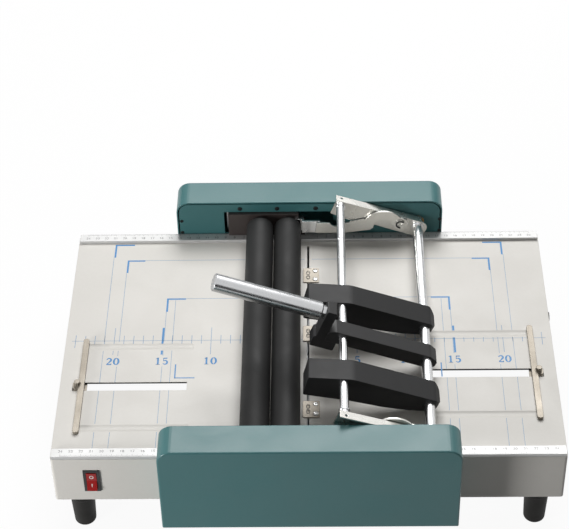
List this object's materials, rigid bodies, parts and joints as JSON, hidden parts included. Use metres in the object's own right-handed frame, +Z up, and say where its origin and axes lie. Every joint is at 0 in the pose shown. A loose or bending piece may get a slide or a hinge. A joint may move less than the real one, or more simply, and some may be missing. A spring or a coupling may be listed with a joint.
{
  "type": "paper folding machine",
  "caption": "Desktop machine that staples sheets on their centre line and folds them: feed table, flip-over stapling frame, rising blade, motor-driven rubber rollers.",
  "frame": {"origin": "on the floor below the middle of the table, at the line where the paper is folded", "axes": "+X along the table to the right as the picture shows it, +Y to the back, +Z up"},
  "size_m": [0.505, 0.398, 0.236],
  "materials": {
    "table_paint": "satin powder coat",
    "cover_paint": "semi-gloss enamel",
    "ruler_aluminium": "brushed and printed",
    "foot_rubber": "moulded matt",
    "anvil_steel": "nickel plated",
    "drive_steel": "zinc plated",
    "bush_bronze": "turned",
    "switch_black": "moulded satin",
    "switch_red": "moulded gloss",
    "block_plastic": "moulded satin",
    "motor_case": "satin",
    "roller_rubber": "ground matt",
    "gear_nylon": "moulded satin",
    "frame_chrome": "bright plated",
    "arm_black": "satin enamel",
    "stapler_plastic": "moulded satin",
    "stop_metal": "nickel plated"
  },
  "bodies": {
    "base": {"table_pan": "table_paint", "base_plate": "table_paint", "foot_front_left": "foot_rubber", "foot_front_right": "foot_rubber", "foot_rear_left": "foot_rubber", "foot_rear_right": "foot_rubber", "side_plate_front": "cover_paint", "side_plate_rear": "cover_paint", "cover_front": "cover_paint", "cover_rear": "cover_paint", "ruler_front": "ruler_aluminium", "ruler_rear": "ruler_aluminium", "anvil_front": "anvil_steel", "anvil_middle": "anvil_steel", "anvil_rear": "anvil_steel", "guide_rail_front": "drive_steel", "guide_rail_rear": "drive_steel", "pivot_bush_front": "bush_bronze", "pivot_bush_rear": "bush_bronze", "switch_housing": "switch_black", "cord_inlet": "switch_black"},
    "carriage": {"slide_block_front": "block_plastic", "slide_block_rear": "block_plastic", "carriage_plate_front": "drive_steel", "carriage_plate_rear": "drive_steel", "carriage_tie": "drive_steel", "link_lug_front": "frame_chrome", "link_lug_rear": "frame_chrome", "gear_motor": "motor_case"},
    "roller_left": {"roller_left_sleeve": "roller_rubber", "roller_left_shaft": "drive_steel", "roller_left_gear": "drive_steel"},
    "roller_right": {"roller_right_sleeve": "roller_rubber", "roller_right_shaft": "drive_steel", "roller_right_gear": "drive_steel"},
    "idler": {"idler_gear": "gear_nylon"},
    "pinion": {"motor_pinion": "drive_steel"},
    "blade": {"fold_blade": "drive_steel", "blade_carrier": "drive_steel"},
    "frame": {"pivot_rod": "frame_chrome", "stapler_rod": "frame_chrome", "bracket_front": "frame_chrome", "bracket_rear": "frame_chrome", "handle_arm": "arm_black", "handle_bracket": "arm_black", "handle_nut": "frame_chrome", "handle_tube": "frame_chrome", "stapler_front": "stapler_plastic"},
    "magazine_front": {"magazine_front": "drive_steel"},
    "link_front": {"link_front": "frame_chrome"},
    "link_rear": {"link_rear": "frame_chrome"},
    "stapler_rear": {"stapler_rear": "stapler_plastic"},
    "magazine_rear": {"magazine_rear": "drive_steel"},
    "stop_left": {"stop_bar_left": "stop_metal"},
    "knob_left": {"stop_knob_left": "stop_metal"},
    "stop_right": {"stop_bar_right": "stop_metal"},
    "knob_right": {"stop_knob_right": "stop_metal"},
    "rocker": {"switch_rocker": "switch_red"}
  },
  "joints": [
    {"name": "frame_tilt", "type": "hinge", "parent": "base", "child": "frame", "pos_m": [0.1185, 0, 0.1255], "axis": [0, 1, 0], "range_deg": [-15, 135.41]},
    {"name": "carriage_slide", "type": "slide", "parent": "base", "child": "carriage", "axis": [1, 0, 0], "range_m": [-0.0043, 0.0373]},
    {"name": "blade_lift", "type": "slide", "parent": "base", "child": "blade", "axis": [0, 0, 1], "range_m": [-0.0045, 0.0393]},
    {"name": "link_front_swing", "type": "hinge", "parent": "frame", "child": "link_front", "pos_m": [0.09983, -0.152, 0.13267], "axis": [0, 1, 0], "range_deg": [-136, 16]},
    {"name": "link_rear_swing", "type": "hinge", "parent": "frame", "child": "link_rear", "pos_m": [0.09983, 0.152, 0.13267], "axis": [0, 1, 0], "range_deg": [-136, 16]},
    {"name": "roller_left_spin", "type": "hinge", "parent": "carriage", "child": "roller_left", "pos_m": [-0.052, 0, 0.1254], "axis": [0, 1, 0], "continuous": true},
    {"name": "roller_right_spin", "type": "hinge", "parent": "carriage", "child": "roller_right", "pos_m": [-0.022, 0, 0.1254], "axis": [0, 1, 0], "continuous": true},
    {"name": "idler_spin", "type": "hinge", "parent": "carriage", "child": "idler", "pos_m": [-0.06108, -0.17925, 0.08902], "axis": [0, 1, 0], "continuous": true},
    {"name": "pinion_spin", "type": "hinge", "parent": "carriage", "child": "pinion", "pos_m": [-0.092, -0.17925, 0.079], "axis": [0, 1, 0], "continuous": true},
    {"name": "magazine_front_spring", "type": "slide", "parent": "frame", "child": "magazine_front", "axis": [0.3584, 0, 0.9336], "range_m": [0, 0.003], "stiffness_N_per_m": 2000},
    {"name": "stapler_rear_slide", "type": "slide", "parent": "frame", "child": "stapler_rear", "axis": [0, 1, 0], "range_m": [0, 0.0891]},
    {"name": "magazine_rear_spring", "type": "slide", "parent": "stapler_rear", "child": "magazine_rear", "axis": [0.3584, 0, 0.9336], "range_m": [0, 0.003], "stiffness_N_per_m": 2000},
    {"name": "stop_left_slide", "type": "slide", "parent": "base", "child": "stop_left", "axis": [1, 0, 0], "range_m": [0, 0.105]},
    {"name": "knob_left_turn", "type": "hinge", "parent": "stop_left", "child": "knob_left", "pos_m": [-0.232, -0.0655, 0.112], "axis": [0, 0, 1], "range_deg": [0, 360]},
    {"name": "stop_right_slide", "type": "slide", "parent": "base", "child": "stop_right", "axis": [-1, 0, 0], "range_m": [0, 0.105]},
    {"name": "knob_right_turn", "type": "hinge", "parent": "stop_right", "child": "knob_right", "pos_m": [0.232, -0.05, 0.112], "axis": [0, 0, 1], "range_deg": [0, 360]},
    {"name": "power_rocker", "type": "hinge", "parent": "base", "child": "rocker", "pos_m": [-0.2115, -0.1625, 0.0775], "axis": [1, 0, 0], "range_deg": [0, 16]}
  ],
  "couplings": [
    {"joint": "carriage_slide", "follows": "frame_tilt", "m_per_rad": 0.015656},
    {"joint": "blade_lift", "follows": "frame_tilt", "m_per_rad": 0.016502},
    {"joint": "link_front_swing", "follows": "frame_tilt", "ratio": -1},
    {"joint": "link_rear_swing", "follows": "frame_tilt", "ratio": -1},
    {"joint": "roller_right_spin", "follows": "roller_left_spin", "ratio": -1},
    {"joint": "idler_spin", "follows": "roller_left_spin", "ratio": -0.66667},
    {"joint": "pinion_spin", "follows": "roller_left_spin", "ratio": 1.5}
  ]
}
